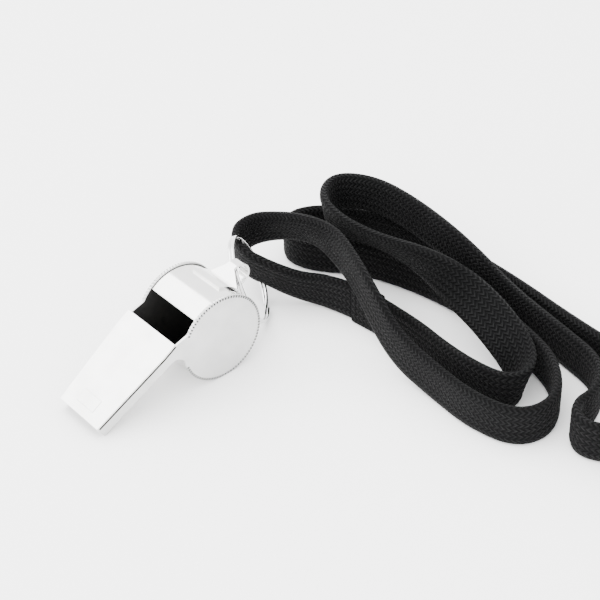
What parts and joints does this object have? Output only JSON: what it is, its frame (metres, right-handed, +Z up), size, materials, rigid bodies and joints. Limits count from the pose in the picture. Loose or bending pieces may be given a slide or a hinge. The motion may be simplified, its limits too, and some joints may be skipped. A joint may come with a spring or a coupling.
{
  "type": "pea whistle with split ring and flat braided neck lanyard",
  "caption": "Nickel-plated brass pea whistle for dog training, split ring through the eye at its back, flat black braided lanyard folded beside it",
  "frame": {"origin": "on the table under the middle of the metal pieces, that is the whistle and its ring", "axes": "+X from the mouth over the barrel to the ring, +Y along the barrel's axis to the far side, +Z up"},
  "size_m": [0.1121, 0.1605, 0.0234],
  "materials": {
    "nickel": "bright nickel plate on pressed brass sheet",
    "nickel_disc": "satin nickel plate on the flat discs, milled rim",
    "ring_steel": "bright plated spring wire",
    "cork": "natural cork ball",
    "braid": "flat tubular braid of black polyester"
  },
  "bodies": {
    "lanyard": {"braid_ring_loop": "braid", "braid_front": "braid", "braid_outer_loop": "braid", "braid_top_loop": "braid", "braid_joint": "braid"},
    "ring": {"split_ring": "ring_steel"},
    "whistle": {"top_plate": "nickel", "barrel_strip": "nickel", "side_plate_near": "nickel_disc", "side_plate_far": "nickel_disc", "ring_holder": "nickel"},
    "pea": {"pea": "cork"}
  },
  "joints": [
    {"name": "ring_in_lanyard", "type": "hinge", "parent": "lanyard", "child": "ring", "pos_m": [0.03186, 0.01112, 0.0114], "axis": [0, 0, 1], "range_deg": [-8, 8]},
    {"name": "whistle_on_ring", "type": "hinge", "parent": "ring", "child": "whistle", "pos_m": [0.01697, -0.00154, 0.01904], "axis": [0.2817, 0.7078, 0.6478], "range_deg": [0, 45]},
    {"name": "pea_roll", "type": "hinge", "parent": "whistle", "child": "pea", "pos_m": [0.00416, -0.00274, 0.0117], "axis": [0, 1, 0], "continuous": true}
  ]
}
